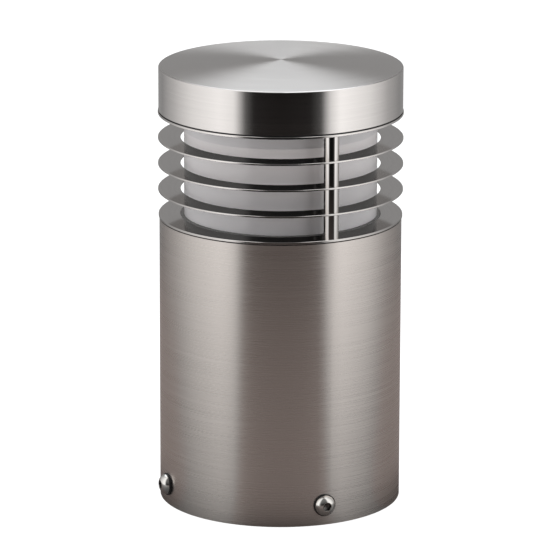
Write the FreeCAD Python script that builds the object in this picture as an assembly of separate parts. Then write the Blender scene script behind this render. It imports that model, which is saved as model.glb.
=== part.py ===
"""Louvred bollard light, 304 mm high: one STEP file for each sub-part, in millimetres.

The origin is on the ground at the middle of the body and +Z is up. The front of the light
faces -Y. Angles round the body are measured from the front towards +X.
"""
import FreeCAD, Part
import math
import os

# Body and base
TOTAL_HEIGHT = 304.0
TUBE_RADIUS = 82.3
TUBE_WALL = 1.2
TUBE_TOP = 195.7
BASE_PLATE_RADIUS = 80.0
BASE_PLATE_THICKNESS = 3.0
ANCHOR_CIRCLE = 110.0
ANCHOR_HOLE = 9.0
CABLE_HOLE = 32.0

# Side screws, M8 button heads with a 5 mm socket
SCREW_COUNT = 4
FIRST_SCREW_ANGLE = 21.5
SCREW_HEIGHT = 14.0
SCREW_RADIUS = 4.0
SCREW_ROOT_RADIUS = 3.4
SCREW_PITCH = 1.25
SCREW_LENGTH = 16.0
HEAD_RADIUS = 7.0
HEAD_HEIGHT = 4.4
HEAD_EDGE = 0.5
HEAD_TOP_RADIUS = 3.2
SOCKET_FLATS = 5.0
SOCKET_DEPTH = 2.6
WASHER_RADIUS = 7.6
WASHER_THICKNESS = 1.0
WASHER_GAP = 0.1
SCREW_HOLE_RADIUS = 4.5
NUT_BORE_RADIUS = 4.05
NUT_FLATS = 13.0
NUT_HEIGHT = 6.5

# Lugs on the base and the clips that straddle them
LUG_WIDTH = 20.0
LUG_THICKNESS = 2.5
LUG_FACE = 79.9
LUG_TOP = 26.0
LUG_FOOT_LENGTH = 16.0
CLIP_GAP = 0.5
CLIP_THICKNESS = 2.0
CLIP_LOW = 7.0
CLIP_HIGH = 21.0

# Louvred head
PLATE_THICKNESS = 1.5
LOUVRE_THICKNESS = 1.2
EDGE_CHAMFER = 0.2
DECK_RADIUS = 82.8
LOUVRE_RADIUS = 83.1
LOUVRE_INNER_RADIUS = 67.8
CANOPY_RADIUS = 83.2
GASKET_RADIUS = 81.6
GASKET_THICKNESS = 0.8
SPACER_RADIUS = 5.0
SPACER_LENGTH = 16.6
LOUVRE_COUNT = 3
ROD_COUNT = 2
FIRST_ROD_ANGLE = 26.0
ROD_CIRCLE_RADIUS = 76.8
BOLT_RADIUS = 2.5
BOLT_HOLE_RADIUS = 2.7
BOLT_HEAD_RADIUS = 4.0
BOLT_HEAD_HEIGHT = 3.0
BOLT_NUT_FLATS = 8.0
BOLT_NUT_HEIGHT = 4.7
RING_THICKNESS = 3.0
RING_INNER_RADIUS = 66.0
BULKHEAD_RADIUS = 80.9
BULKHEAD_THICKNESS = 2.5
LAMP_HOLE_RADIUS = 25.0

# Cap
CAP_RADIUS = 82.75
CAP_WALL = 1.5
CAP_EDGE_RADIUS = 1.0
CAP_DOME_RADIUS = 840.0
CAP_SEAL_RADIUS = 81.8
CAP_SEAL_INNER_RADIUS = 80.9
CAP_SEAL_HEIGHT = 1.0
STUD_RADIUS = 3.0
STUD_END = 259.0
STUD_NUT_FLATS = 10.0
STUD_NUT_HEIGHT = 5.0

# Diffuser
DIFFUSER_RADIUS = 65.5
DIFFUSER_WALL = 3.0
SEAL_THICKNESS = 1.5
SEAL_LIP_RADIUS = 67.6
SEAL_LIP_HEIGHT = 2.6
REFLECTOR_RADIUS = 60.0
REFLECTOR_THICKNESS = 1.2

# Lampholder, its bracket and the lamp
BRACKET_LEG = 34.0
BRACKET_WIDTH = 28.0
BRACKET_SHEET = 2.0
BRACKET_FOOT = 14.0
BRACKET_TOP_OF_SHELF = 142.0
BRACKET_SCREW_RADIUS = 2.0
HOLDER_RADIUS = 21.0
HOLDER_TOP = 186.0
HOLDER_FLOOR = 148.0
HOLDER_BORE_RADIUS = 14.2
SHELL_RADIUS = 13.8
SHELL_WALL = 0.5
SHELL_LOW = 157.0
SHELL_HIGH = 184.0
CONTACT_WIDTH = 5.0
NIPPLE_RADIUS = 5.0
NIPPLE_BORE = 4.0
NIPPLE_LOW = 131.0
NIPPLE_HIGH = 146.0
NIPPLE_NUT_FLATS = 14.0
LAMP_TIP = 153.0
LAMP_THREAD_RADIUS = 13.1
LAMP_ROOT_RADIUS = 12.2
LAMP_PITCH = 3.63
LAMP_BULB_RADIUS = 22.5
LAMP_BULB_CENTRE = 210.0

# Junction box, its gland and the leads
BOX_LENGTH = 66.0
BOX_DEPTH = 46.0
BOX_LOW = 88.0
BOX_WALL = 2.5
LID_THICKNESS = 3.0
BLOCK_POLES = 3
BLOCK_POLE_WIDTH = 10.0
BLOCK_LOW = 96.0
BLOCK_HIGH = 110.0
BLOCK_BACK = 19.0
BLOCK_FRONT = 1.0
GLAND_RADIUS = 10.0
GLAND_BORE = 6.0
GLAND_FLATS = 24.0
LEAD_RADIUS = 1.0
LEAD_START_Y = 8.0
TERMINAL_WELL_DEPTH = 5.0
EARTH_SCREW_X = 25.0
EARTH_SCREW_Y = 6.0
EARTH_SCREW_RADIUS = 2.0
EARTH_TAG_THICKNESS = 1.0
EARTH_TAG_REACH = 11.0

# Heights that follow from the sizes above
DECK_TOP = TUBE_TOP + GASKET_THICKNESS + PLATE_THICKNESS
BULKHEAD_LOW = TUBE_TOP - BULKHEAD_THICKNESS
RING_LOW = BULKHEAD_LOW - RING_THICKNESS
CANOPY_LOW = DECK_TOP + (LOUVRE_COUNT + 1) * SPACER_LENGTH + LOUVRE_COUNT * LOUVRE_THICKNESS
CANOPY_TOP = CANOPY_LOW + PLATE_THICKNESS
CAP_LOW = CANOPY_TOP + CAP_SEAL_HEIGHT
REFLECTOR_LOW = CANOPY_LOW - REFLECTOR_THICKNESS
SHELF_LOW = BRACKET_TOP_OF_SHELF - BRACKET_SHEET
TUBE_BORE = TUBE_RADIUS - TUBE_WALL

SCREW_ANGLES = [FIRST_SCREW_ANGLE + index * 360 / SCREW_COUNT for index in range(SCREW_COUNT)]
ROD_ANGLES = [FIRST_ROD_ANGLE + index * 360 / ROD_COUNT for index in range(ROD_COUNT)]
LOUVRE_NAMES = ["louvre_lower", "louvre_middle", "louvre_upper"]


# Small tools

def vec(x, y, z):
    return FreeCAD.Vector(x, y, z)


def cylinder(radius, low, high, x=0.0, y=0.0):
    return Part.makeCylinder(radius, high - low, vec(x, y, low))


def ring(outer, inner, low, high):
    return cylinder(outer, low, high).cut(cylinder(inner, low - 1, high + 1))


def block(x_range, y_range, z_range):
    size = [high - low for low, high in (x_range, y_range, z_range)]
    return Part.makeBox(size[0], size[1], size[2], vec(x_range[0], y_range[0], z_range[0]))


def turned(outline):
    """A solid of revolution about Z from (radius, height) points."""
    points = [vec(radius, 0, height) for radius, height in outline]
    face = Part.Face(Part.makePolygon(points + points[:1]))
    return face.revolve(vec(0, 0, 0), vec(0, 0, 1), 360)


def edged_ring(outer, inner, low, high):
    """A flat ring with all four of its corners broken."""
    cut = EDGE_CHAMFER
    return turned([
        (inner, low + cut), (inner + cut, low), (outer - cut, low), (outer, low + cut),
        (outer, high - cut), (outer - cut, high), (inner + cut, high), (inner, high - cut),
    ])


def hexagon(across_flats, low, high):
    """A hexagonal bar on the Z axis, with a flat facing +X."""
    corner = across_flats / math.sqrt(3)
    angles = [math.radians(30 + 60 * index) for index in range(6)]
    points = [vec(corner * math.cos(angle), corner * math.sin(angle), low) for angle in angles]
    face = Part.Face(Part.makePolygon(points + points[:1]))
    return face.extrude(vec(0, 0, high - low))


def hex_nut(across_flats, height, bore):
    """A hexagon nut standing on z = 0, with its corners turned off at both ends."""
    corner = across_flats / math.sqrt(3)
    flat = across_flats / 2
    slope = (corner - flat) * 0.58
    limit = turned([
        (0, 0), (flat, 0), (corner, slope), (corner, height - slope), (flat, height), (0, height),
    ])
    return hexagon(across_flats, 0, height).common(limit).cut(cylinder(bore, -1, height + 1))


def slotted_head(radius, height):
    """A slotted screw head that stands on z = 0."""
    slope = height * 0.25
    slot_half = radius * 0.16
    head = turned([(0, 0), (radius, 0), (radius, height - slope), (radius - slope, height), (0, height)])
    return head.cut(block((-radius, radius), (-slot_half, slot_half), (height * 0.5, height + 1)))


def pan_screw(radius, length, head_radius, head_height):
    """A slotted screw: underside of the head on z = 0, shank downwards."""
    shank = turned([
        (0, -length), (radius * 0.8, -length), (radius, -length + radius * 0.4), (radius, 0), (0, 0),
    ])
    return slotted_head(head_radius, head_height).fuse(shank).removeSplitter()


def placed(shape, point, axis=(0, 0, 1)):
    """A copy of the shape with its origin at point and its +Z turned to axis."""
    turn = FreeCAD.Rotation(vec(0, 0, 1), vec(*axis))
    return shape.transformed(FreeCAD.Placement(vec(*point), turn).toMatrix(), True)


def radial(shape, angle):
    """Turn a shape that was built along +X to stand at an angle round the body."""
    turned_shape = shape.copy()
    turned_shape.rotate(vec(0, 0, 0), vec(0, 0, 1), angle - 90)
    return turned_shape


def round_pattern(shape, angles):
    return [radial(shape, angle) for angle in angles]


def wire_tube(name, points, radius):
    """A round lead: straight runs joined by tangent arcs as large as the runs allow."""
    corners = [vec(*point) for point in points]
    edges = []
    bend_radii = []
    start = corners[0]
    for before, corner, after in zip(corners, corners[1:], corners[2:]):
        arriving = corner.sub(before).normalize()
        leaving = after.sub(corner).normalize()
        reach = 0.45 * min(corner.sub(before).Length, after.sub(corner).Length)
        half_turn = arriving.getAngle(leaving) / 2
        bend = reach / math.tan(half_turn)
        inward = leaving.sub(arriving).normalize()
        middle = corner.add(inward.multiply(bend / math.cos(half_turn) - bend))
        arc_start = corner.sub(arriving.multiply(reach))
        arc_end = corner.add(leaving.multiply(reach))
        edges.append(Part.LineSegment(start, arc_start).toShape())
        edges.append(Part.Arc(arc_start, middle, arc_end).toShape())
        bend_radii.append(round(bend, 1))
        start = arc_end
    edges.append(Part.LineSegment(start, corners[-1]).toShape())
    path = Part.Wire(edges)
    direction = corners[1].sub(corners[0])
    section = Part.Wire(Part.Circle(corners[0], direction, radius).toShape())
    tube = path.makePipeShell([section], True, False)
    expected = math.pi * radius ** 2 * path.Length
    print(name, "bend radii", bend_radii, "volume ratio", round(tube.Volume / expected, 3))
    return tube


# Base: stays fixed to the ground

def base_plate():
    thickness = BASE_PLATE_THICKNESS
    plate = turned([
        (CABLE_HOLE / 2, 0), (BASE_PLATE_RADIUS, 0), (BASE_PLATE_RADIUS, thickness - 0.5),
        (BASE_PLATE_RADIUS - 0.5, thickness), (CABLE_HOLE / 2, thickness),
    ])
    hole = cylinder(ANCHOR_HOLE / 2, -1, thickness + 1, x=ANCHOR_CIRCLE / 2)
    halfway = 180 / SCREW_COUNT
    for angle in SCREW_ANGLES:
        plate = plate.cut(radial(hole, angle + halfway))
    return plate


def lug_bracket():
    """An angle bracket along +X; its slot is open at the top, so a loosened screw lifts out."""
    half = LUG_WIDTH / 2
    low = BASE_PLATE_THICKNESS
    upright = block((LUG_FACE - LUG_THICKNESS, LUG_FACE), (-half, half), (low, LUG_TOP))
    foot_end = LUG_FACE - LUG_FOOT_LENGTH
    foot = block((foot_end, LUG_FACE - LUG_THICKNESS), (-half, half), (low, low + LUG_THICKNESS))
    slot_length = LUG_TOP - SCREW_HEIGHT + 1
    x_range = (LUG_FACE - LUG_THICKNESS - 1, LUG_FACE + 1)
    slot = block(x_range, (-SCREW_HOLE_RADIUS, SCREW_HOLE_RADIUS), (SCREW_HEIGHT, SCREW_HEIGHT + slot_length))
    start = vec(x_range[0], 0, SCREW_HEIGHT)
    slot_end = Part.makeCylinder(SCREW_HOLE_RADIUS, x_range[1] - x_range[0], start, vec(1, 0, 0))
    return upright.fuse(foot).removeSplitter().cut(slot).cut(slot_end)


# Body: the tube and what is fixed inside its foot

def body_tube():
    tube = ring(TUBE_RADIUS, TUBE_BORE, 0, TUBE_TOP)
    start = vec(TUBE_BORE - 5, 0, SCREW_HEIGHT)
    hole = Part.makeCylinder(SCREW_HOLE_RADIUS, 12, start, vec(1, 0, 0))
    for angle in SCREW_ANGLES:
        tube = tube.cut(radial(hole, angle))
    return tube


def nut_clip():
    """A bent clip along +X, welded to the tube's bore on both sides of a lug."""
    back_face = LUG_FACE - LUG_THICKNESS - CLIP_GAP
    inner = LUG_WIDTH / 2 + CLIP_GAP
    outer = inner + CLIP_THICKNESS
    z_range = (CLIP_LOW, CLIP_HIGH)
    outside = block((back_face - CLIP_THICKNESS, TUBE_RADIUS), (-outer, outer), z_range)
    inside = block((back_face, TUBE_RADIUS + 1), (-inner, inner), (CLIP_LOW - 1, CLIP_HIGH + 1))
    start = vec(back_face - CLIP_THICKNESS - 1, 0, SCREW_HEIGHT)
    hole = Part.makeCylinder(SCREW_HOLE_RADIUS, CLIP_THICKNESS + 2, start, vec(1, 0, 0))
    return outside.cut(inside).cut(hole).common(cylinder(TUBE_BORE, 0, LUG_TOP + 5))


def weld_nut():
    """An M8 nut along +X, welded to the back of its clip."""
    back = LUG_FACE - LUG_THICKNESS - CLIP_GAP - CLIP_THICKNESS
    return placed(hex_nut(NUT_FLATS, NUT_HEIGHT, NUT_BORE_RADIUS), (back, 0, SCREW_HEIGHT), (-1, 0, 0))


def side_screw():
    """An M8 button-head screw along +X, its thread drawn as rings one pitch apart."""
    seat = TUBE_RADIUS + WASHER_GAP + WASHER_THICKNESS
    outline = [(0, -SCREW_LENGTH), (SCREW_ROOT_RADIUS, -SCREW_LENGTH)]
    turns = int((SCREW_LENGTH - 1.5) / SCREW_PITCH)
    for index in range(turns):
        height = -SCREW_LENGTH + 0.4 + index * SCREW_PITCH
        outline.append((SCREW_RADIUS, height + SCREW_PITCH * 0.45))
        outline.append((SCREW_RADIUS, height + SCREW_PITCH * 0.55))
        outline.append((SCREW_ROOT_RADIUS, height + SCREW_PITCH))
    outline.append((SCREW_RADIUS, -1.0))
    outline.append((SCREW_RADIUS, 0.0))
    outline.append((0, 0))
    shank = turned(outline)
    screw = button_head().fuse(shank).removeSplitter()
    return placed(screw, (seat, 0, SCREW_HEIGHT), (1, 0, 0))


def button_head():
    """The domed head on z = 0, with a chamfered hexagon socket."""
    edge_top = vec(HEAD_RADIUS, 0, HEAD_EDGE)
    dome_middle = vec(HEAD_RADIUS * 0.79, 0, HEAD_HEIGHT * 0.68)
    dome_top = vec(HEAD_TOP_RADIUS, 0, HEAD_HEIGHT)
    corners = [vec(HEAD_TOP_RADIUS, 0, HEAD_HEIGHT), vec(0, 0, HEAD_HEIGHT), vec(0, 0, 0)]
    corners += [vec(HEAD_RADIUS, 0, 0), edge_top]
    edges = [Part.LineSegment(first, second).toShape() for first, second in zip(corners, corners[1:])]
    edges.append(Part.Arc(edge_top, dome_middle, dome_top).toShape())
    head = Part.Face(Part.Wire(edges)).revolve(vec(0, 0, 0), vec(0, 0, 1), 360)
    bottom = HEAD_HEIGHT - SOCKET_DEPTH
    socket = hexagon(SOCKET_FLATS, bottom, HEAD_HEIGHT + 1)
    point_depth = SOCKET_FLATS * 0.25
    drill_point = Part.makeCone(0, SOCKET_FLATS / 2, point_depth, vec(0, 0, bottom - point_depth))
    mouth_radius = SOCKET_FLATS / math.sqrt(3)
    mouth = Part.makeCone(mouth_radius - 0.6, mouth_radius + 0.1, 0.7, vec(0, 0, HEAD_HEIGHT - 0.7))
    return head.cut(socket).cut(drill_point).cut(mouth)


def side_washer():
    """A soft washer along +X, shaped to the round tube on its inner side."""
    start = vec(TUBE_RADIUS - 3, 0, SCREW_HEIGHT)
    length = 3 + WASHER_GAP + WASHER_THICKNESS
    disc = Part.makeCylinder(WASHER_RADIUS, length, start, vec(1, 0, 0))
    bore = Part.makeCylinder(SCREW_RADIUS + 0.1, length + 2, start.sub(vec(1, 0, 0)), vec(1, 0, 0))
    return disc.cut(bore).cut(cylinder(TUBE_RADIUS + WASHER_GAP, -5, 40))


# Head: everything that the two tie bolts clamp

def cut_rod_holes(shape, low, high):
    hole = cylinder(BOLT_HOLE_RADIUS, low - 1, high + 1, x=ROD_CIRCLE_RADIUS)
    for angle in ROD_ANGLES:
        shape = shape.cut(radial(hole, angle))
    return shape


def tube_ring():
    plain = ring(TUBE_BORE, RING_INNER_RADIUS, RING_LOW, BULKHEAD_LOW)
    return cut_rod_holes(plain, RING_LOW, BULKHEAD_LOW)


def bulkhead_plate():
    plate = ring(BULKHEAD_RADIUS, LAMP_HOLE_RADIUS, BULKHEAD_LOW, TUBE_TOP)
    for x in bracket_screw_places():
        plate = plate.cut(cylinder(BRACKET_SCREW_RADIUS + 0.2, BULKHEAD_LOW - 1, TUBE_TOP + 1, x=x))
    return cut_rod_holes(plate, BULKHEAD_LOW, TUBE_TOP)


def deck_gasket():
    top = TUBE_TOP + GASKET_THICKNESS
    return cut_rod_holes(ring(GASKET_RADIUS, LOUVRE_INNER_RADIUS, TUBE_TOP, top), TUBE_TOP, top)


def deck_plate():
    low = TUBE_TOP + GASKET_THICKNESS
    return cut_rod_holes(edged_ring(DECK_RADIUS, LOUVRE_INNER_RADIUS, low, DECK_TOP), low, DECK_TOP)


def louvre(index):
    low = DECK_TOP + (index + 1) * SPACER_LENGTH + index * LOUVRE_THICKNESS
    high = low + LOUVRE_THICKNESS
    return cut_rod_holes(edged_ring(LOUVRE_RADIUS, LOUVRE_INNER_RADIUS, low, high), low, high)


def rod_spacers():
    spacers = []
    for level in range(LOUVRE_COUNT + 1):
        low = DECK_TOP + level * (SPACER_LENGTH + LOUVRE_THICKNESS)
        spacer = ring(SPACER_RADIUS, BOLT_RADIUS + 0.1, low, low + SPACER_LENGTH)
        spacer.translate(vec(ROD_CIRCLE_RADIUS, 0, 0))
        spacers += round_pattern(spacer, ROD_ANGLES)
    return spacers


def canopy_plate():
    plate = edged_ring(CANOPY_RADIUS, STUD_RADIUS + 0.3, CANOPY_LOW, CANOPY_TOP)
    return cut_rod_holes(plate, CANOPY_LOW, CANOPY_TOP)


def tie_bolt():
    """A long M5 bolt along Z at +X, its head inside the cap."""
    end = RING_LOW - BOLT_NUT_HEIGHT - 2
    bolt = turned([
        (0, end), (BOLT_RADIUS - 0.4, end), (BOLT_RADIUS, end + 0.4), (BOLT_RADIUS, CANOPY_TOP),
        (BOLT_HEAD_RADIUS, CANOPY_TOP), (BOLT_HEAD_RADIUS, CANOPY_TOP + BOLT_HEAD_HEIGHT - 0.3),
        (BOLT_HEAD_RADIUS - 0.3, CANOPY_TOP + BOLT_HEAD_HEIGHT), (0, CANOPY_TOP + BOLT_HEAD_HEIGHT),
    ])
    head_top = CANOPY_TOP + BOLT_HEAD_HEIGHT
    bolt = bolt.cut(hexagon(3.0, head_top - 1.8, head_top + 1))
    bolt.translate(vec(ROD_CIRCLE_RADIUS, 0, 0))
    return bolt


def tie_bolt_nut():
    nut = hex_nut(BOLT_NUT_FLATS, BOLT_NUT_HEIGHT, BOLT_RADIUS + 0.05)
    return placed(nut, (ROD_CIRCLE_RADIUS, 0, RING_LOW - BOLT_NUT_HEIGHT))


def diffuser():
    inner = DIFFUSER_RADIUS - DIFFUSER_WALL
    low = TUBE_TOP + SEAL_THICKNESS
    high = CANOPY_LOW - SEAL_THICKNESS
    edge = 0.5
    return turned([
        (inner, low), (DIFFUSER_RADIUS, low), (DIFFUSER_RADIUS, high - edge),
        (DIFFUSER_RADIUS - edge, high), (inner + edge, high), (inner, high - edge),
    ])


def diffuser_seal_lower():
    """An L-shaped ring: the glass stands on its floor, and its lip fills the gap to the deck."""
    inner = DIFFUSER_RADIUS - DIFFUSER_WALL
    floor = TUBE_TOP + SEAL_THICKNESS
    lip_top = TUBE_TOP + SEAL_LIP_HEIGHT
    return turned([
        (inner, TUBE_TOP), (SEAL_LIP_RADIUS, TUBE_TOP), (SEAL_LIP_RADIUS, lip_top),
        (DIFFUSER_RADIUS, lip_top), (DIFFUSER_RADIUS, floor), (inner, floor),
    ])


def diffuser_seal_upper():
    inner = DIFFUSER_RADIUS - DIFFUSER_WALL
    return ring(DIFFUSER_RADIUS, inner, CANOPY_LOW - SEAL_THICKNESS, CANOPY_LOW)


def reflector_disc():
    """A flat disc with its rim turned down a little."""
    hole = STUD_RADIUS + 0.3
    thickness = REFLECTOR_THICKNESS
    rim = 4.0
    return turned([
        (hole, REFLECTOR_LOW), (REFLECTOR_RADIUS - rim, REFLECTOR_LOW),
        (REFLECTOR_RADIUS - thickness, REFLECTOR_LOW - rim), (REFLECTOR_RADIUS, REFLECTOR_LOW - rim),
        (REFLECTOR_RADIUS, REFLECTOR_LOW - rim + thickness), (REFLECTOR_RADIUS - rim, CANOPY_LOW),
        (hole, CANOPY_LOW),
    ])


# Cap

def profile_arc(x, z, radius, start, end):
    """An arc in the XZ plane; its angles are in degrees from +X towards +Z."""
    arc = Part.makeCircle(radius, vec(0, 0, 0), vec(0, 0, 1), start, end)
    arc.rotate(vec(0, 0, 0), vec(1, 0, 0), 90)
    arc.translate(vec(x, 0, z))
    return arc


def dome_height(radius, depth):
    """Height of a sphere that lies `depth` under the cap's domed top, at a radius from the axis."""
    return TOTAL_HEIGHT - CAP_DOME_RADIUS + math.sqrt((CAP_DOME_RADIUS - depth) ** 2 - radius ** 2)


def cap():
    """A drum with an open underside and a shallow domed top; its rim is rounded in two arcs."""
    bend_x = CAP_RADIUS - CAP_EDGE_RADIUS
    bend_z = dome_height(bend_x, CAP_EDGE_RADIUS)
    slope = math.degrees(math.asin(bend_x / (CAP_DOME_RADIUS - CAP_EDGE_RADIUS)))
    half_turn = (90 - slope) / 2
    bore = CAP_RADIUS - CAP_WALL
    sheet_inside = CAP_DOME_RADIUS - CAP_WALL
    bore_angle = math.degrees(math.acos(bore / sheet_inside))
    sphere_z = TOTAL_HEIGHT - CAP_DOME_RADIUS
    edges = [
        profile_arc(bend_x, bend_z, CAP_EDGE_RADIUS, 0, half_turn),
        profile_arc(bend_x, bend_z, CAP_EDGE_RADIUS, half_turn, 2 * half_turn),
        profile_arc(0, sphere_z, CAP_DOME_RADIUS, 90 - slope, 90),
        profile_arc(0, sphere_z, sheet_inside, bore_angle, 90),
        Part.LineSegment(vec(0, 0, TOTAL_HEIGHT), vec(0, 0, TOTAL_HEIGHT - CAP_WALL)).toShape(),
    ]
    skirt = [vec(bore, 0, dome_height(bore, CAP_WALL)), vec(bore, 0, CAP_LOW)]
    skirt += [vec(CAP_RADIUS, 0, CAP_LOW), vec(CAP_RADIUS, 0, bend_z)]
    edges += [Part.LineSegment(first, second).toShape() for first, second in zip(skirt, skirt[1:])]
    profile = Part.Face(Part.Wire(Part.sortEdges(edges)[0]))
    return profile.revolve(vec(0, 0, 0), vec(0, 0, 1), 360)


def cap_seal():
    return ring(CAP_SEAL_RADIUS, CAP_SEAL_INNER_RADIUS, CANOPY_TOP, CAP_LOW)


def cap_stud():
    return cylinder(STUD_RADIUS, STUD_END, dome_height(STUD_RADIUS, CAP_WALL))


def cap_stud_nut():
    low = REFLECTOR_LOW - STUD_NUT_HEIGHT
    return placed(hex_nut(STUD_NUT_FLATS, STUD_NUT_HEIGHT, STUD_RADIUS + 0.05), (0, 0, low))


# Lampholder and lamp

def bracket_screw_places():
    reach = BRACKET_LEG + BRACKET_FOOT / 2
    return [-reach, reach]


def holder_bracket():
    """A U-shaped hanger: a shelf, two legs, and feet turned out under the bulkhead."""
    half = BRACKET_WIDTH / 2
    sheet = BRACKET_SHEET
    outer = BRACKET_LEG
    profile = [
        (-outer - BRACKET_FOOT, BULKHEAD_LOW), (-outer + sheet, BULKHEAD_LOW),
        (-outer + sheet, BRACKET_TOP_OF_SHELF), (outer - sheet, BRACKET_TOP_OF_SHELF),
        (outer - sheet, BULKHEAD_LOW), (outer + BRACKET_FOOT, BULKHEAD_LOW),
        (outer + BRACKET_FOOT, BULKHEAD_LOW - sheet), (outer, BULKHEAD_LOW - sheet),
        (outer, SHELF_LOW), (-outer, SHELF_LOW), (-outer, BULKHEAD_LOW - sheet),
        (-outer - BRACKET_FOOT, BULKHEAD_LOW - sheet),
    ]
    points = [vec(x, -half, z) for x, z in profile]
    hanger = Part.Face(Part.makePolygon(points + points[:1])).extrude(vec(0, BRACKET_WIDTH, 0))
    for x in bracket_screw_places():
        hanger = hanger.cut(cylinder(BRACKET_SCREW_RADIUS + 0.2, BULKHEAD_LOW - 5, BULKHEAD_LOW + 1, x=x))
    hanger = hanger.cut(cylinder(NIPPLE_RADIUS + 0.1, SHELF_LOW - 1, BRACKET_TOP_OF_SHELF + 1))
    return hanger.cut(earth_screw_hole(EARTH_SCREW_RADIUS + 0.05))


def bracket_screws():
    screw = pan_screw(BRACKET_SCREW_RADIUS, 10, 3.8, 2.4)
    return [placed(screw, (x, 0, TUBE_TOP)) for x in bracket_screw_places()]


def bracket_nuts():
    nut = hex_nut(7.0, 3.2, BRACKET_SCREW_RADIUS + 0.05)
    return [placed(nut, (x, 0, BULKHEAD_LOW - BRACKET_SHEET - 3.2)) for x in bracket_screw_places()]


def holder_nipple():
    return ring(NIPPLE_RADIUS, NIPPLE_BORE, NIPPLE_LOW, NIPPLE_HIGH)


def nipple_nut():
    ceiling = SHELF_LOW - BOX_WALL
    return placed(hex_nut(NIPPLE_NUT_FLATS, 3.5, NIPPLE_RADIUS + 0.05), (0, 0, ceiling - 3.5))


def lampholder_body():
    """A skirted ceramic cup on the shelf, with a bore for the threaded shell."""
    base = BRACKET_TOP_OF_SHELF
    body = turned([
        (NIPPLE_RADIUS + 0.05, base), (HOLDER_RADIUS - 3, base), (HOLDER_RADIUS - 1, base + 2),
        (HOLDER_RADIUS - 1, base + 14), (HOLDER_RADIUS, base + 16), (HOLDER_RADIUS, HOLDER_TOP - 1.5),
        (HOLDER_RADIUS - 1.5, HOLDER_TOP), (HOLDER_BORE_RADIUS, HOLDER_TOP),
        (HOLDER_BORE_RADIUS, HOLDER_FLOOR), (NIPPLE_RADIUS - 1, HOLDER_FLOOR),
        (NIPPLE_RADIUS - 1, NIPPLE_HIGH), (NIPPLE_RADIUS + 0.05, NIPPLE_HIGH),
    ])
    return body


def lampholder_shell():
    """The threaded shell of the holder, with a small rolled rim at its mouth."""
    inner = SHELL_RADIUS - SHELL_WALL
    return turned([
        (inner, SHELL_LOW), (SHELL_RADIUS, SHELL_LOW), (SHELL_RADIUS, SHELL_HIGH - 1),
        (HOLDER_BORE_RADIUS, SHELL_HIGH - 0.5), (HOLDER_BORE_RADIUS, SHELL_HIGH), (inner, SHELL_HIGH),
    ])


def contact_strip(outline):
    """A brass strip bent in the XZ plane."""
    half = CONTACT_WIDTH / 2
    points = [vec(x, -half, z) for x, z in outline]
    return Part.Face(Part.makePolygon(points + points[:1])).extrude(vec(0, CONTACT_WIDTH, 0))


def holder_live_contact():
    floor = HOLDER_FLOOR
    top = LAMP_TIP - 0.3
    return contact_strip([
        (-8, floor), (-0.4, floor), (-0.4, floor + 0.5), (-7.2, floor + 0.5), (-3, top - 0.5),
        (2.5, top - 0.5), (2.5, top), (-3.3, top), (-8, floor + 0.9),
    ])


def holder_neutral_strap():
    floor = HOLDER_FLOOR
    inner = SHELL_RADIUS - SHELL_WALL
    return contact_strip([
        (0.4, floor), (inner + 0.2, floor), (inner + 0.2, SHELL_LOW), (inner - 0.3, SHELL_LOW),
        (inner - 0.3, floor + 0.5), (0.4, floor + 0.5),
    ]).common(cylinder(HOLDER_BORE_RADIUS, floor, SHELL_LOW))


def lamp_tip():
    return turned([
        (0, LAMP_TIP), (3.5, LAMP_TIP), (4.6, LAMP_TIP + 0.8), (4.6, LAMP_TIP + 2), (0, LAMP_TIP + 2),
    ])


def lamp_insulator():
    low = LAMP_TIP + 2
    return turned([(0, low), (5.5, low), (9.5, low + 3), (9.5, low + 4), (0, low + 4)])


def lamp_thread():
    """The lamp's screw shell, its round thread drawn as rings one pitch apart."""
    low = LAMP_TIP + 6
    outline = [(0, low), (9.5, low), (LAMP_ROOT_RADIUS, low + 1.5)]
    for index in range(4):
        height = low + 1.5 + index * LAMP_PITCH
        outline.append((LAMP_THREAD_RADIUS, height + LAMP_PITCH * 0.35))
        outline.append((LAMP_THREAD_RADIUS, height + LAMP_PITCH * 0.65))
        outline.append((LAMP_ROOT_RADIUS, height + LAMP_PITCH))
    high = low + 1.5 + 4 * LAMP_PITCH + 2
    outline.append((LAMP_ROOT_RADIUS, high))
    outline.append((0, high))
    return turned(outline)


def lamp_housing():
    low = LAMP_TIP + 6 + 1.5 + 4 * LAMP_PITCH + 2
    high = 196.0
    return turned([
        (0, low), (12.5, low), (12.9, low + 1), (12.9, HOLDER_TOP + 1), (15.5, HOLDER_TOP + 3),
        (lamp_neck_radius(high), high), (0, high),
    ])


def lamp_neck_radius(height):
    return math.sqrt(LAMP_BULB_RADIUS ** 2 - (LAMP_BULB_CENTRE - height) ** 2)


def lamp_bulb():
    """A ball cut off flat where it meets the housing."""
    ball = Part.makeSphere(LAMP_BULB_RADIUS, vec(0, 0, LAMP_BULB_CENTRE))
    return ball.cut(cylinder(LAMP_BULB_RADIUS + 5, 170, 196.0))


# Junction box and wiring

def box_ranges(grow):
    half_length = BOX_LENGTH / 2 + grow
    half_depth = BOX_DEPTH / 2
    return (-half_length, half_length), (-half_depth, half_depth + grow), (BOX_LOW - grow, SHELF_LOW + grow)


def lid_screw_places():
    x = BOX_LENGTH / 2 - 4.5
    return [(side * x, height) for side in (-1, 1) for height in (BOX_LOW + 4.5, SHELF_LOW - 4.5)]


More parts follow.
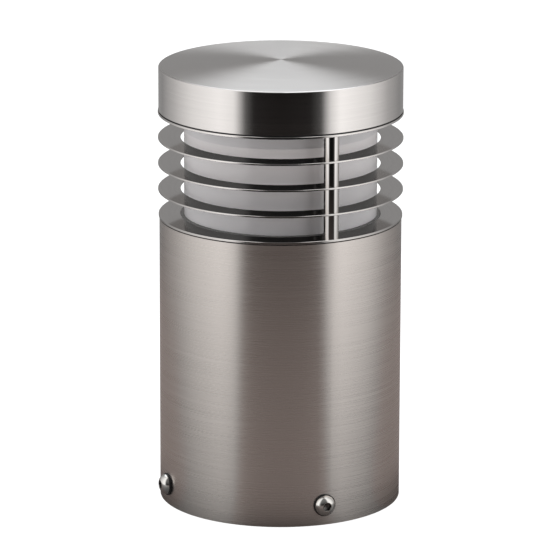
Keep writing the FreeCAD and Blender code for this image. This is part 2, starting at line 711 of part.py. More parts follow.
def junction_box():
    """A box under the shelf, open towards the front, with a post in each corner for its lid."""
    x_range, y_range, z_range = box_ranges(0)
    shell = block(x_range, y_range, z_range)
    x_in, y_in, z_in = box_ranges(-BOX_WALL)
    hollow = block(x_in, (y_range[0] - 1, y_in[1]), z_in)
    box = shell.cut(hollow)
    for x, z in lid_screw_places():
        post = block((x - 4.5, x + 4.5), (y_range[0], y_range[0] + 15), (z - 4.5, z + 4.5))
        box = box.fuse(post)
        hole = Part.makeCylinder(1.6, 14, vec(x, y_range[0] - 1, z), vec(0, 1, 0))
        box = box.cut(hole)
    box = box.removeSplitter()
    box = box.cut(cylinder(NIPPLE_RADIUS + 0.1, SHELF_LOW - BOX_WALL - 1, SHELF_LOW + 1))
    box = box.cut(earth_screw_hole(EARTH_SCREW_RADIUS + 0.2))
    return box.cut(cylinder(GLAND_RADIUS + 0.1, BOX_LOW - 1, BOX_LOW + BOX_WALL + 1))


def lid_outline(low_y, high_y, inset=0.0):
    x_range, _, z_range = box_ranges(-inset)
    return block(x_range, (low_y, high_y), z_range)


def junction_box_lid():
    back = -BOX_DEPTH / 2
    lid = lid_outline(back - LID_THICKNESS, back)
    long_edges = [edge for edge in lid.Edges if edge.BoundBox.YMax < back - LID_THICKNESS + 0.01]
    lid = lid.makeChamfer(0.8, long_edges)
    for x, z in lid_screw_places():
        start = vec(x, back - LID_THICKNESS - 1, z)
        lid = lid.cut(Part.makeCylinder(1.7, LID_THICKNESS + 2, start, vec(0, 1, 0)))
    return lid


def lid_screws():
    face = -BOX_DEPTH / 2 - LID_THICKNESS
    screw = pan_screw(1.5, 12, 2.9, 1.8)
    return [placed(screw, (x, face, z), (0, -1, 0)) for x, z in lid_screw_places()]


def pole_places():
    first = -(BLOCK_POLES - 1) / 2 * BLOCK_POLE_WIDTH
    return [first + index * BLOCK_POLE_WIDTH for index in range(BLOCK_POLES)]


def terminal_heights():
    return [BLOCK_LOW + 3.5, BLOCK_HIGH - 3.5]


def terminal_block():
    """Three poles in a row on a foot that reaches the back of the box."""
    back = BOX_DEPTH / 2 - BOX_WALL
    middle = (BLOCK_LOW + BLOCK_HIGH) / 2
    strip = None
    for x in pole_places():
        pole = block((x - 4.6, x + 4.6), (BLOCK_FRONT, BLOCK_BACK), (BLOCK_LOW, BLOCK_HIGH))
        for height in terminal_heights():
            well = Part.makeCylinder(2.2, TERMINAL_WELL_DEPTH, vec(x, BLOCK_FRONT, height), vec(0, 1, 0))
            pole = pole.cut(well)
        strip = pole if strip is None else strip.fuse(pole)
    half = pole_places()[-1] + 4.6
    foot = block((-half, half), (BLOCK_FRONT + 6, back), (middle - 3, middle + 3))
    return strip.fuse(foot).removeSplitter()


def terminal_screws():
    """The six clamping screws, of which only the heads stand in their wells."""
    head = slotted_head(2.0, 1.4)
    floor = BLOCK_FRONT + TERMINAL_WELL_DEPTH
    return [placed(head, (x, floor, z), (0, -1, 0)) for x in pole_places() for z in terminal_heights()]


def gland_body():
    """The gland's threaded neck goes through the bottom of the box."""
    top = BOX_LOW + BOX_WALL + 5
    neck = cylinder(GLAND_RADIUS, BOX_LOW, top)
    collar = hexagon(GLAND_FLATS, BOX_LOW - 5, BOX_LOW)
    lower = cylinder(GLAND_RADIUS - 0.5, BOX_LOW - 13, BOX_LOW - 5)
    whole = neck.fuse(collar).fuse(lower).removeSplitter()
    return whole.cut(cylinder(GLAND_BORE + 1.5, BOX_LOW - 14, top + 1))


def gland_locknut():
    nut = hex_nut(GLAND_FLATS, 4.0, GLAND_RADIUS + 0.05)
    return placed(nut, (0, 0, BOX_LOW + BOX_WALL))


def gland_dome_nut():
    """The clamping nut, domed towards the cable."""
    top = BOX_LOW - 5.3
    low = BOX_LOW - 19
    dome = turned([
        (0, low), (GLAND_BORE + 2.5, low), (11.5, low + 5), (14.2, low + 5.5), (14.2, top), (0, top),
    ])
    grip = hexagon(GLAND_FLATS, low - 1, top + 1)
    inside = cylinder(GLAND_RADIUS - 0.4, low + 5, top + 1)
    return dome.common(grip).cut(inside).cut(cylinder(GLAND_BORE, low - 1, top + 1))


def gland_sleeve():
    """The rubber sleeve that grips the supply cable."""
    return ring(GLAND_BORE + 1.5, GLAND_BORE - 1.5, BOX_LOW - 14, BOX_LOW - 3)


def supply_lead(pole, end_x, name):
    """A lead from the top of a terminal, through the nipple, to the floor of the lampholder."""
    return wire_tube(name, [
        (pole, LEAD_START_Y, BLOCK_HIGH), (pole, LEAD_START_Y, BLOCK_HIGH + 8),
        (end_x, 0, NIPPLE_LOW - 4), (end_x, 0, HOLDER_FLOOR),
    ], LEAD_RADIUS)


def lead_live():
    return supply_lead(pole_places()[0], -1.6, "lead_live")


def lead_neutral():
    return supply_lead(pole_places()[1], 1.6, "lead_neutral")


def lead_earth():
    """The earth lead, from its terminal to the tail of the tag."""
    pole = pole_places()[2]
    tag_low = SHELF_LOW - BOX_WALL - EARTH_TAG_THICKNESS
    end_x = EARTH_SCREW_X - EARTH_TAG_REACH + 2
    return wire_tube("lead_earth", [
        (pole, LEAD_START_Y, BLOCK_HIGH), (pole, LEAD_START_Y, BLOCK_HIGH + 9),
        (end_x, EARTH_SCREW_Y, tag_low - 9), (end_x, EARTH_SCREW_Y, tag_low),
    ], LEAD_RADIUS)


def earth_tag():
    """A ring tag under the head of the earth screw, with a tail for the lead."""
    top = SHELF_LOW - BOX_WALL
    low = top - EARTH_TAG_THICKNESS
    x_range = (EARTH_SCREW_X - EARTH_TAG_REACH, EARTH_SCREW_X)
    eye = cylinder(4.2, low, top, x=EARTH_SCREW_X, y=EARTH_SCREW_Y)
    tail = block(x_range, (EARTH_SCREW_Y - 2, EARTH_SCREW_Y + 2), (low, top))
    return eye.fuse(tail).removeSplitter().cut(earth_screw_hole(EARTH_SCREW_RADIUS + 0.1))


def earth_screw():
    """The screw goes up through the tag and the box into a tapped hole in the shelf."""
    low = SHELF_LOW - BOX_WALL - EARTH_TAG_THICKNESS
    screw = pan_screw(EARTH_SCREW_RADIUS, 8, 3.8, 2.4)
    return placed(screw, (EARTH_SCREW_X, EARTH_SCREW_Y, low), (0, 0, -1))


def earth_screw_hole(radius):
    """A cutter for the earth screw's hole, through everything between the box and the shelf."""
    low = SHELF_LOW - BOX_WALL - 5
    return cylinder(radius, low, BRACKET_TOP_OF_SHELF + 1, x=EARTH_SCREW_X, y=EARTH_SCREW_Y)


# Export

def save(name, shape):
    """Write one sub-part; a list of shapes becomes one file with separate solids."""
    shapes = shape if isinstance(shape, list) else [shape]
    solids = [solid for entry in shapes for solid in entry.Solids]
    for solid in solids:
        if not solid.isValid() or solid.Volume <= 0:
            raise ValueError("bad solid in " + name)
    whole = solids[0] if len(solids) == 1 else Part.makeCompound(solids)
    whole.exportStep("parts/" + name + ".step")


def fixed_parts():
    """Every sub-part that is made once, by its file name."""
    makers = [
        base_plate, body_tube, tube_ring, bulkhead_plate, deck_gasket, deck_plate, rod_spacers, canopy_plate,
        diffuser, diffuser_seal_lower, diffuser_seal_upper, reflector_disc,
        cap, cap_seal, cap_stud, cap_stud_nut,
        holder_bracket, bracket_screws, bracket_nuts, holder_nipple, nipple_nut,
        lampholder_body, lampholder_shell, holder_live_contact, holder_neutral_strap,
        lamp_tip, lamp_insulator, lamp_thread, lamp_housing, lamp_bulb,
        junction_box, junction_box_lid, lid_screws, terminal_block, terminal_screws,
        gland_body, gland_locknut, gland_dome_nut, gland_sleeve,
        lead_live, lead_neutral, lead_earth, earth_tag, earth_screw,
    ]
    return {maker.__name__: maker() for maker in makers}


def build():
    os.makedirs("parts", exist_ok=True)
    parts = fixed_parts()
    parts["lug_brackets"] = round_pattern(lug_bracket(), SCREW_ANGLES)
    parts["nut_clips"] = round_pattern(nut_clip(), SCREW_ANGLES)
    parts["weld_nuts"] = round_pattern(weld_nut(), SCREW_ANGLES)
    parts["tie_bolts"] = round_pattern(tie_bolt(), ROD_ANGLES)
    parts["tie_bolt_nuts"] = round_pattern(tie_bolt_nut(), ROD_ANGLES)
    for index, name in enumerate(LOUVRE_NAMES):
        parts[name] = louvre(index)
    for number, angle in enumerate(SCREW_ANGLES, start=1):
        parts["side_screw_%d" % number] = radial(side_screw(), angle)
        parts["side_washer_%d" % number] = radial(side_washer(), angle)
    for name, shape in parts.items():
        save(name, shape)
    print(len(parts), "parts")


build()
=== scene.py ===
"""Looks for the louvred bollard light: materials, room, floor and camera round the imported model.

Lengths are in metres. Directions are degrees from the front, which is -Y, towards +X.
"""
import math
import bpy
from mathutils import Euler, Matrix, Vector


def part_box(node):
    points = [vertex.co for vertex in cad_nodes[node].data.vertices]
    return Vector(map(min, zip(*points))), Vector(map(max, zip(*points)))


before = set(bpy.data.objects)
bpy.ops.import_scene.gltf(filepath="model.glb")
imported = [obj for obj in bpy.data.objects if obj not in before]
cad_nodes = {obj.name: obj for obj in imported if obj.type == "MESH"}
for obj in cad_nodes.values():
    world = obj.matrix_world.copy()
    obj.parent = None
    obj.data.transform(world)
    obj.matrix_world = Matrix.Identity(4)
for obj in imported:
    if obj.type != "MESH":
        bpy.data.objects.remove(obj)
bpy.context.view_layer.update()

# Camera: a long lens, a little above the cap and looking down (angles in degrees, lens and sensor in mm)
CAMERA_PLACE = (-0.0002, -3.0369, 0.9615)
CAMERA_TILT_DOWN = 14.955
CAMERA_ROLL = 0.17
LENS = 296.2
SENSOR = 36.0
VIEW_REACH = 200.0

# Brightness of the room's walls by direction: a dark front between two bright panels, and a dim back
ROOM_BY_DIRECTION = [
    (-180, 0.31), (-150, 0.31), (-122, 0.6), (-92, 1.05), (-60, 1.34), (-45, 1.2),
    (-34, 0.13), (-26, 0.01), (0, 0.006), (28, 0.01), (39, 0.08),
    (48, 1.0), (58, 1.42), (92, 1.05), (122, 0.52), (150, 0.3), (180, 0.31),
]
# Dim light high up all round, by the sine of the elevation
HIGH_LIGHT = [(0.1, 0.0), (0.35, 0.1), (0.75, 0.2)]
# A large soft light above and behind: its direction, its colour, and the cosines of the angles from that
# direction where it begins and where it is at full strength
OVERHEAD_DIRECTION = (0.0, 0.5, 0.866)
OVERHEAD_LIGHT = (1.9, 2.0, 2.08)
OVERHEAD_EDGE = 0.83
OVERHEAD_FULL = 0.97

# Light off the table, by distance from the object's axis: the walls' share, and the table's own glow.
# The squeeze is a length that narrows the dark front where the table is close.
TABLE_RADIUS = 8.0
TABLE_DROP = 0.001
TABLE_REACH = 1.2
TABLE_SQUEEZE = 0.055
WALL_SHARE = [(0.0, 0.04), (0.09, 0.1), (0.14, 0.26), (0.3, 0.37), (0.5, 0.45), (0.78, 0.68), (1.14, 1.0)]
TABLE_GLOW = [(0.0, 0.05), (0.085, 0.08), (0.14, 0.25), (0.5, 0.3), (0.64, 0.24), (0.8, 0.06), (1.1, 0.0)]
TABLE_COLOR = (1.0, 0.86, 0.82)

# What the camera sees round the object: a white floor, and a white dome over it
FLOOR_RADIUS = 40.0
FLOOR_GLOW = 0.9
FLOOR_GREY = (0.35, 0.35, 0.35)
BACKDROP_RADIUS = 39.0
BACKDROP_DROP = 0.01
BACKDROP_RINGS = 24
BACKDROP_SEGMENTS = 64

# Faces with a finish of their own: the cap's domed top, by height and by how much a face points up,
# and the hexagon sockets of the side screws, which get painted shade
CAP_RIM = 0.29995
CAP_TOP_UPWARD = 0.99
SCREW_BEARINGS = {"side_screw_1": 21.5, "side_screw_2": 111.5, "side_screw_3": 201.5, "side_screw_4": 291.5}
SCREW_HEIGHT = 0.014
SOCKET_RADIUS = 0.00299
SOCKET_BOTTOM = 0.0042

# Colours of the steels
STEEL = (0.66, 0.63, 0.61)
WARM_STEEL = (0.655, 0.605, 0.57)

# Noise textures: the range that nearly all their values lie in, and a narrower one for more contrast
NOISE_RANGE = (0.3, 0.7)
CONTRAST_RANGE = (0.35, 0.65)

# Brushed steel: noise scale along the fine and the coarse lines, share of the fine ones, and how little
# the lines of a spun face change on their way round
FINE_ALONG = 7
COARSE_ALONG = 2
FINE_SHARE = 0.7
SPUN_CHANGE = 0.02

# Glass: its two tones, the painted dark colour that its reflections show, the height of the top band where
# the painted glow drops away, how sharp that drop is, where the painted glow begins, and its colour
GLASS_DARK = (0.93, 0.915, 0.935)
GLASS_LIGHT = (0.98, 0.965, 0.985)
GLASS_PAINTED_DARK_REFLECTION = (0.03, 0.03, 0.03)
NO_GLOW = (0.0, 0.0, 0.0)
GLOW_DROP_BAND = 0.0098
GLOW_DROP_BAND_EDGE = 0.0006
PAINTED_GLOW_FOOT = 0.025
PAINTED_GLOW_COLOR = (1.0, 0.9, 0.86)

# Finish of the CAD nodes; the ones that aren't listed are fasteners, and polished like the screws
NODES_BY_FINISH = {
    "tube brushed": ["body_tube"],
    "louvre sheet": ["deck_plate", "louvre_lower", "louvre_middle", "louvre_upper", "canopy_plate"],
    "post polished": ["rod_spacers"],
    "frosted glass": ["diffuser"],
    "mill sheet": ["tube_ring", "bulkhead_plate", "nut_clips", "base_plate", "lug_brackets"],
    "zinc sheet": ["holder_bracket"],
    "brass": [
        "holder_nipple", "nipple_nut", "lampholder_shell", "holder_live_contact", "holder_neutral_strap",
        "lamp_tip", "terminal_screws", "earth_screw",
    ],
    "tinned copper": ["earth_tag"],
    "nickel shell": ["lamp_thread"],
    "black rubber": [
        "deck_gasket", "cap_seal", "gland_sleeve",
        "side_washer_1", "side_washer_2", "side_washer_3", "side_washer_4",
    ],
    "grey silicone": ["diffuser_seal_lower", "diffuser_seal_upper"],
    "white enamel": ["reflector_disc"],
    "porcelain": ["lampholder_body"],
    "grey plastic": ["junction_box", "junction_box_lid"],
    "white plastic": ["lamp_housing", "terminal_block"],
    "black nylon": ["gland_body", "gland_locknut", "gland_dome_nut"],
    "black glass": ["lamp_insulator"],
    "lamp globe": ["lamp_bulb"],
    "brown lead": ["lead_live"],
    "blue lead": ["lead_neutral"],
    "earth lead": ["lead_earth"],
}


# Node tools

def link(tree, source, target):
    tree.links.new(source, target)


def new_material(name, **inputs):
    """A Principled material; keyword names are the shader's sockets, with spaces as underscores."""
    material = bpy.data.materials.new(name)
    material.use_nodes = True
    shader = material.node_tree.nodes["Principled BSDF"]
    for socket, value in inputs.items():
        shader.inputs[socket.replace("_", " ")].default_value = value
    return material, material.node_tree, shader


def emission_material(name):
    """A material of plain emission, for what isn't part of the object."""
    material = bpy.data.materials.new(name)
    material.use_nodes = True
    tree = material.node_tree
    tree.nodes.clear()
    output = tree.nodes.new("ShaderNodeOutputMaterial")
    emission = tree.nodes.new("ShaderNodeEmission")
    link(tree, emission.outputs[0], output.inputs["Surface"])
    return material, tree, emission, output


def object_xyz(tree):
    coordinates = tree.nodes.new("ShaderNodeTexCoord")
    return coordinates.outputs["Object"]


def split(tree, vector):
    """The X, Y and Z of a vector."""
    node = tree.nodes.new("ShaderNodeSeparateXYZ")
    link(tree, vector, node.inputs[0])
    return node.outputs


def vector_math(tree, operation, vector):
    node = tree.nodes.new("ShaderNodeVectorMath")
    node.operation = operation
    link(tree, vector, node.inputs[0])
    return node


def math_node(tree, operation, first, second=None):
    """An operation on one or two values, each a socket or a number."""
    node = tree.nodes.new("ShaderNodeMath")
    node.operation = operation
    for socket, value in zip(node.inputs, (first, second)):
        if isinstance(value, bpy.types.NodeSocket):
            link(tree, value, socket)
        elif value is not None:
            socket.default_value = value
    return node.outputs[0]


def spread(tree, value, source, target, smooth=False):
    """A value taken from a source range to a target range, each (low, high), and kept inside the target."""
    node = tree.nodes.new("ShaderNodeMapRange")
    if smooth:
        node.interpolation_type = "SMOOTHSTEP"
    link(tree, value, node.inputs["Value"])
    for socket, number in zip(("From Min", "From Max", "To Min", "To Max"), (*source, *target)):
        node.inputs[socket].default_value = number
    return node.outputs["Result"]


def mix_colors(tree, factor, first, second):
    """A colour between two; the factor and both colours are sockets or plain values."""
    node = tree.nodes.new("ShaderNodeMix")
    node.data_type = "RGBA"
    if isinstance(factor, bpy.types.NodeSocket):
        link(tree, factor, node.inputs["Factor"])
    else:
        node.inputs["Factor"].default_value = factor
    for socket, value in (("A", first), ("B", second)):
        if isinstance(value, bpy.types.NodeSocket):
            link(tree, value, node.inputs[socket])
        else:
            node.inputs[socket].default_value = (*value, 1)
    return node.outputs["Result"]


def blend(tree, kind, first, second):
    """Two colours combined channel by channel."""
    result = mix_colors(tree, 1.0, first, second)
    result.node.blend_type = kind
    return result


def grey_ramp(tree, value, low, high, steps):
    """A grey that follows a value, which lies from low to high, through (value, brightness) steps."""
    ramp = tree.nodes.new("ShaderNodeValToRGB")
    link(tree, spread(tree, value, (low, high), (0, 1)), ramp.inputs["Fac"])
    elements = ramp.color_ramp.elements
    while len(elements) < len(steps):
        elements.new(0.5)
    for element, (place, brightness) in zip(elements, steps):
        element.position = (place - low) / (high - low)
        element.color = (brightness, brightness, brightness, 1)
    return ramp.outputs["Color"]


def noise(tree, vector, scale, detail=2.0, roughness=0.5):
    """Noise stretched by a scale along each axis, per metre."""
    mapping = tree.nodes.new("ShaderNodeMapping")
    mapping.inputs["Scale"].default_value = scale
    link(tree, vector, mapping.inputs["Vector"])
    node = tree.nodes.new("ShaderNodeTexNoise")
    node.inputs["Scale"].default_value = 1.0
    node.inputs["Detail"].default_value = detail
    node.inputs["Roughness"].default_value = roughness
    link(tree, mapping.outputs["Vector"], node.inputs["Vector"])
    return node.outputs["Fac"]


def turning_coordinates(tree):
    """Coordinates whose first axis is the distance from the part's own axis, for spun faces."""
    x, y, _ = split(tree, object_xyz(tree))
    squares = math_node(tree, "ADD", math_node(tree, "MULTIPLY", x, x), math_node(tree, "MULTIPLY", y, y))
    combined = tree.nodes.new("ShaderNodeCombineXYZ")
    link(tree, math_node(tree, "SQRT", squares), combined.inputs[0])
    link(tree, math_node(tree, "MULTIPLY", x, SPUN_CHANGE), combined.inputs[1])
    link(tree, math_node(tree, "MULTIPLY", y, SPUN_CHANGE), combined.inputs[2])
    return combined.outputs[0]


def vary_color(tree, shader, pattern, source, color, low_share, high_share):
    """The base colour follows a pattern's source range, from one share of a colour to another."""
    dark = [channel * low_share for channel in color]
    light = [min(1.0, channel * high_share) for channel in color]
    factor = spread(tree, pattern, source, (0, 1))
    link(tree, mix_colors(tree, factor, dark, light), shader.inputs["Base Color"])


def vary_roughness(tree, shader, pattern, low, high):
    link(tree, spread(tree, pattern, NOISE_RANGE, (low, high)), shader.inputs["Roughness"])


def bump(tree, shader, height, distance, strength=1.0):
    node = tree.nodes.new("ShaderNodeBump")
    node.inputs["Distance"].default_value = distance
    node.inputs["Strength"].default_value = strength
    link(tree, height, node.inputs["Height"])
    link(tree, node.outputs["Normal"], shader.inputs["Normal"])


def around_axis_tangent(tree, shader):
    """The direction of lines that run round the Z axis, for the stretch of their highlights."""
    tangent = tree.nodes.new("ShaderNodeTangent")
    tangent.direction_type = "RADIAL"
    tangent.axis = "Z"
    link(tree, tangent.outputs[0], shader.inputs["Tangent"])


# Materials

def brushed_steel(name, color, roughness, anisotropy, grain, variation, spun=False, depth=0.000004):
    """Stainless steel brushed round the part's axis: fine lines in its colour, gloss and relief."""
    material, tree, shader = new_material(
        name, Metallic=1.0, Anisotropic=anisotropy, Anisotropic_Rotation=0.25)
    around_axis_tangent(tree, shader)
    vector = turning_coordinates(tree) if spun else object_xyz(tree)
    fine_scale = (grain, grain, grain) if spun else (FINE_ALONG, FINE_ALONG, grain)
    coarse_scale = (grain / 5, grain / 5, grain / 5) if spun else (COARSE_ALONG, COARSE_ALONG, grain / 4)
    fine = noise(tree, vector, fine_scale, 3.0, 0.7)
    coarse = noise(tree, vector, coarse_scale)
    fine_part = math_node(tree, "MULTIPLY", fine, FINE_SHARE)
    coarse_part = math_node(tree, "MULTIPLY", coarse, 1 - FINE_SHARE)
    lines = math_node(tree, "ADD", fine_part, coarse_part)
    vary_color(tree, shader, lines, NOISE_RANGE, color, 1 - variation, 1 + variation)
    vary_roughness(tree, shader, lines, roughness * 0.85, roughness * 1.15)
    bump(tree, shader, fine, depth)
    return material


def polished_steel(name, color, roughness):
    """Polished stainless steel with faint wiping marks."""
    material, tree, shader = new_material(name, Metallic=1.0)
    shader.inputs["Base Color"].default_value = (*color, 1)
    marks = noise(tree, object_xyz(tree), (300, 300, 90), 4.0, 0.6)
    vary_roughness(tree, shader, marks, roughness * 0.7, roughness * 1.4)
    return material


def plain_metal(name, color, roughness, speckle=900.0):
    """Mill-finish or plated metal, with a mottled sheen."""
    material, tree, shader = new_material(name, Metallic=1.0)
    cloud = noise(tree, object_xyz(tree), (speckle / 9, speckle / 9, speckle / 9), 3.0)
    fleck = noise(tree, object_xyz(tree), (speckle, speckle, speckle))
    vary_color(tree, shader, cloud, CONTRAST_RANGE, color, 0.86, 1.08)
    vary_roughness(tree, shader, cloud, roughness * 0.8, roughness * 1.25)
    bump(tree, shader, fleck, 0.00001, 0.4)
    return material


def moulded(name, color, roughness, subsurface=0.0, relief=0.00003):
    """Rubber, plastic, ceramic or enamel with a very fine skin texture."""
    material, tree, shader = new_material(name, Subsurface_Weight=subsurface, Subsurface_Scale=0.003)
    skin = noise(tree, object_xyz(tree), (1500, 1500, 1500), 3.0, 0.6)
    cloud = noise(tree, object_xyz(tree), (60, 60, 60))
    vary_color(tree, shader, cloud, CONTRAST_RANGE, color, 0.9, 1.06)
    vary_roughness(tree, shader, skin, roughness * 0.9, roughness * 1.1)
    bump(tree, shader, skin, relief, 0.5)
    return material


def frosted_glass(name):
    """Opal glass, smooth outside. Its reflections in the polished plates are painted dark: glossy rays
    see a near-black colour in place of the glass.

    A faint painted glow, with no lamp behind it, stands for light scattered inside. It grows towards
    the top band and drops away there, which leaves that band darker.
    """
    material, tree, shader = new_material(
        name, IOR=1.5, Coat_Weight=1.0, Coat_Roughness=0.05, Specular_IOR_Level=0.2, Emission_Strength=1.0)
    grain = noise(tree, object_xyz(tree), (2500, 2500, 2500))
    cloud = noise(tree, object_xyz(tree), (35, 35, 90), 3.0)
    body = mix_colors(tree, spread(tree, cloud, NOISE_RANGE, (0, 1)), GLASS_DARK, GLASS_LIGHT)
    height = split(tree, object_xyz(tree))[2]
    low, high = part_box("diffuser")[0].z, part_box("diffuser")[1].z
    glow_drop = high - GLOW_DROP_BAND
    # Painted glow: light with no lamp behind it, strongest just under the top band and low in the band
    # itself
    strength = grey_ramp(tree, height, low, high, [
        (low, 0.0), (low + PAINTED_GLOW_FOOT, 0.02), (glow_drop, 0.13), (glow_drop + GLOW_DROP_BAND_EDGE, 0.03), (high, 0.02)])
    glow = blend(tree, "MULTIPLY", strength, PAINTED_GLOW_COLOR)
    # Painted dark reflection: glossy rays see the glass near-black, and see none of the painted glow
    mirrored = tree.nodes.new("ShaderNodeLightPath").outputs["Is Glossy Ray"]
    link(tree, mix_colors(tree, mirrored, body, GLASS_PAINTED_DARK_REFLECTION), shader.inputs["Base Color"])
    link(tree, mix_colors(tree, mirrored, glow, NO_GLOW), shader.inputs["Emission Color"])
    vary_roughness(tree, shader, grain, 0.42, 0.55)
    bump(tree, shader, grain, 0.00002, 0.5)
    return material


def striped_lead(name, first, second):
    """Two-colour PVC insulation, the stripes running along the wire."""
    material, tree, shader = new_material(name, Roughness=0.35)
    _, y, _ = split(tree, object_xyz(tree))
    stripe = math_node(tree, "SINE", math_node(tree, "MULTIPLY", y, 3000.0))
    factor = spread(tree, stripe, (-0.1, 0.1), (0, 1))
    link(tree, mix_colors(tree, factor, first, second), shader.inputs["Base Color"])
    return material


def make_finishes():
    """Every material of the object, by its name."""
    made = [
        brushed_steel("tube brushed", WARM_STEEL, 0.285, anisotropy=0.75, grain=1800, variation=0.045),
        brushed_steel("cap skirt", STEEL, 0.15, anisotropy=0.6, grain=2200, variation=0.04),
        brushed_steel(
            "cap top", STEEL, 0.32, anisotropy=0.85, grain=1500, variation=0.02, spun=True, depth=0.0000012),
        brushed_steel("louvre sheet", STEEL, 0.09, anisotropy=0.4, grain=1600, variation=0.08, spun=True),
        polished_steel("post polished", STEEL, 0.06),
        polished_steel("screw polished", (0.7, 0.68, 0.65), 0.17),
        # Painted shade: a dark metal for the inside of the screws' hexagon sockets
        plain_metal("socket painted shade", (0.2, 0.19, 0.18), 0.4),
        plain_metal("mill sheet", (0.56, 0.56, 0.56), 0.32),
        plain_metal("zinc sheet", (0.6, 0.63, 0.66), 0.36, speckle=500),
        plain_metal("brass", (0.72, 0.52, 0.25), 0.28),
        plain_metal("tinned copper", (0.75, 0.73, 0.7), 0.3),
        plain_metal("nickel shell", (0.72, 0.69, 0.64), 0.24),
        moulded("black rubber", (0.012, 0.012, 0.013), 0.55),
        moulded("grey silicone", (0.34, 0.34, 0.335), 0.5),
        moulded("white enamel", (0.85, 0.85, 0.83), 0.25, relief=0.00001),
        moulded("porcelain", (0.86, 0.85, 0.8), 0.08, subsurface=0.1, relief=0.00001),
        moulded("grey plastic", (0.42, 0.44, 0.46), 0.45),
        moulded("white plastic", (0.8, 0.8, 0.78), 0.4),
        moulded("black nylon", (0.02, 0.02, 0.02), 0.4),
        moulded("black glass", (0.01, 0.008, 0.012), 0.06, relief=0.000005),
        moulded("lamp globe", (0.9, 0.9, 0.87), 0.3, subsurface=0.3, relief=0.00001),
        moulded("brown lead", (0.2, 0.08, 0.03), 0.35),
        moulded("blue lead", (0.03, 0.12, 0.42), 0.35),
        striped_lead("earth lead", (0.05, 0.3, 0.05), (0.8, 0.7, 0.05)),
        frosted_glass("frosted glass"),
    ]
    # Blender adds a dot and a number to a name that another material already has
    return {material.name.split(".")[0]: material for material in made}


def dress_nodes():
    """Give every CAD node its finish."""
    finishes = make_finishes()
    finish_of = {node: finish for finish, nodes in NODES_BY_FINISH.items() for node in nodes}
    for name, node in cad_nodes.items():
        node.data.materials.clear()
        node.data.materials.append(finishes[finish_of.get(name, "screw polished")])
    two_finish_cap(finishes["cap skirt"], finishes["cap top"])
    for name, bearing in SCREW_BEARINGS.items():
        # Painted shade in the hexagon sockets of the side screws
        paint_socket_shade(cad_nodes[name].data, math.radians(bearing), finishes["socket painted shade"])


def two_finish_cap(skirt, top):
    """The cap's domed top has its own spun finish."""
    mesh = cad_nodes["cap"].data
    mesh.materials.clear()
    mesh.materials.append(skirt)
    mesh.materials.append(top)
    for polygon in mesh.polygons:
        if polygon.normal.z > CAP_TOP_UPWARD and polygon.center.z > CAP_RIM:
            polygon.material_index = 1


def paint_socket_shade(mesh, bearing, material):
    """Painted shade in the hexagon socket of a screw's head: a dark metal on the faces that lie close to the
    screw's own axis.
    """
    mesh.materials.append(material)
    axis = Vector((math.sin(bearing), -math.cos(bearing), 0))
    head_top = max(vertex.co.dot(axis) for vertex in mesh.vertices)
    for polygon in mesh.polygons:
        place = polygon.center - Vector((0, 0, SCREW_HEIGHT))
        along = place.dot(axis)
        if along > head_top - SOCKET_BOTTOM and (place - axis * along).length < SOCKET_RADIUS:
            polygon.material_index = 1


# Room, floor and camera

def walls_by_direction(tree, parts, squeeze=1.0):
    """Brightness of the room's walls in the direction of a vector, given as its X, Y and Z.

    A squeeze over 1 moves the bright panels nearer to the front.
    """
    azimuth = math_node(tree, "ARCTAN2", parts[0], math_node(tree, "MULTIPLY", parts[1], -1.0))
    degrees = math_node(tree, "MULTIPLY", azimuth, 180 / math.pi)
    return grey_ramp(tree, math_node(tree, "MULTIPLY", degrees, squeeze), -180, 180, ROOM_BY_DIRECTION)


def light_room():
    """Bright panels left and right, a soft light above and behind, and darkness low down in front."""
    world = bpy.data.worlds.new("room")
    bpy.context.scene.world = world
    world.use_nodes = True
    tree = world.node_tree
    direction = tree.nodes.new("ShaderNodeTexCoord").outputs["Generated"]
    parts = split(tree, direction)
    high_light = grey_ramp(tree, parts[2], 0, 1, HIGH_LIGHT)
    walls = blend(tree, "LIGHTEN", walls_by_direction(tree, parts), high_light)
    match = vector_math(tree, "DOT_PRODUCT", direction)
    match.inputs[1].default_value = OVERHEAD_DIRECTION
    share = spread(tree, match.outputs["Value"], (OVERHEAD_EDGE, OVERHEAD_FULL), (0, 1), smooth=True)
    background = tree.nodes["Background"]
    link(tree, mix_colors(tree, share, walls, OVERHEAD_LIGHT), background.inputs["Color"])


def hide_from(thing, *kinds):
    """Hide an object from these kinds of ray."""
    for kind in kinds:
        setattr(thing, "visible_" + kind, False)


def disc(name, radius, height, segments=128):
    """A flat round mesh."""
    mesh = bpy.data.meshes.new(name)
    angles = [2 * math.pi * index / segments for index in range(segments)]
    points = [(radius * math.cos(angle), radius * math.sin(angle), height) for angle in angles]
    mesh.from_pydata(points, [], [list(range(segments))])
    thing = bpy.data.objects.new(name, mesh)
    bpy.context.scene.collection.objects.link(thing)
    return thing


def lit_table():
    """The table's own light on the object: dim close by, and like the walls further out."""
    table = disc("table_light", TABLE_RADIUS, -TABLE_DROP)
    hide_from(table, "camera", "shadow", "transmission")
    material, tree, emission, _ = emission_material("table light")
    position = object_xyz(tree)
    distance = vector_math(tree, "LENGTH", position).outputs["Value"]
    squeeze = math_node(tree, "ADD", math_node(tree, "DIVIDE", TABLE_SQUEEZE, distance), 1.0)
    walls = walls_by_direction(tree, split(tree, position), squeeze)
    from_walls = blend(tree, "MULTIPLY", walls, grey_ramp(tree, distance, 0, TABLE_REACH, WALL_SHARE))
    glow = blend(tree, "MULTIPLY", grey_ramp(tree, distance, 0, TABLE_REACH, TABLE_GLOW), TABLE_COLOR)
    link(tree, blend(tree, "LIGHTEN", from_walls, glow), emission.inputs["Color"])
    table.data.materials.append(material)


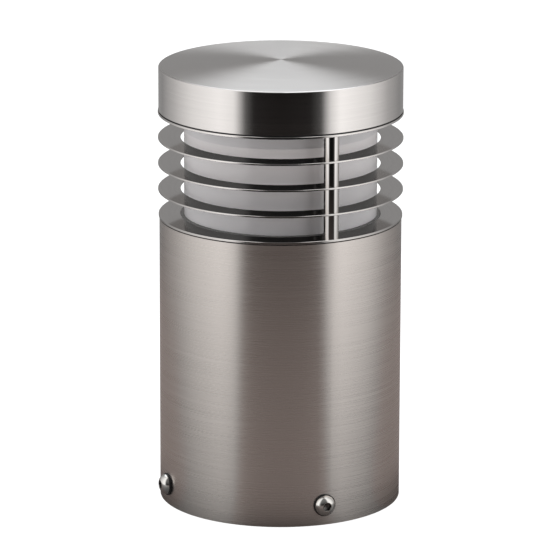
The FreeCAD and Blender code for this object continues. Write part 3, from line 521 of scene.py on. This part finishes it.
def pale_floor():
    """The floor that the camera sees: white, with only a trace of shadow."""
    floor = disc("floor", FLOOR_RADIUS, 0.0)
    hide_from(floor, "glossy", "diffuse", "transmission", "shadow")
    material, tree, emission, output = emission_material("white floor")
    emission.inputs["Strength"].default_value = FLOOR_GLOW
    diffuse = tree.nodes.new("ShaderNodeBsdfDiffuse")
    diffuse.inputs["Color"].default_value = (*FLOOR_GREY, 1)
    both = tree.nodes.new("ShaderNodeAddShader")
    link(tree, emission.outputs[0], both.inputs[0])
    link(tree, diffuse.outputs[0], both.inputs[1])
    link(tree, both.outputs[0], output.inputs["Surface"])
    floor.data.materials.append(material)


def white_backdrop():
    """A white dome behind everything, for the camera only."""
    mesh = bpy.data.meshes.new("backdrop")
    points = []
    for ring in range(BACKDROP_RINGS + 1):
        rise = math.pi / 2 * ring / BACKDROP_RINGS
        level = BACKDROP_RADIUS * math.cos(rise)
        height = BACKDROP_RADIUS * math.sin(rise) - BACKDROP_DROP
        for index in range(BACKDROP_SEGMENTS):
            angle = 2 * math.pi * index / BACKDROP_SEGMENTS
            points.append((level * math.cos(angle), level * math.sin(angle), height))
    faces = []
    for low in range(0, BACKDROP_RINGS * BACKDROP_SEGMENTS, BACKDROP_SEGMENTS):
        high = low + BACKDROP_SEGMENTS
        for index in range(BACKDROP_SEGMENTS):
            after = (index + 1) % BACKDROP_SEGMENTS
            faces.append((low + index, low + after, high + after, high + index))
    mesh.from_pydata(points, [], faces)
    dome = bpy.data.objects.new("backdrop", mesh)
    bpy.context.scene.collection.objects.link(dome)
    hide_from(dome, "glossy", "diffuse", "transmission", "shadow")
    material, _, emission, _ = emission_material("white backdrop")
    emission.inputs["Strength"].default_value = 1.0
    dome.data.materials.append(material)


def place_camera():
    camera_data = bpy.data.cameras.new("camera")
    camera_data.lens = LENS
    camera_data.sensor_width = SENSOR
    camera_data.clip_end = VIEW_REACH
    camera = bpy.data.objects.new("camera", camera_data)
    camera.location = CAMERA_PLACE
    tilt = Euler((math.radians(90 - CAMERA_TILT_DOWN), 0, 0)).to_matrix()
    roll = Euler((0, 0, math.radians(CAMERA_ROLL))).to_matrix()
    camera.rotation_euler = (tilt @ roll).to_euler()
    bpy.context.scene.collection.objects.link(camera)
    bpy.context.scene.camera = camera


bpy.context.scene.view_settings.view_transform = "Standard"
dress_nodes()
light_room()
lit_table()
pale_floor()
white_backdrop()
place_camera()
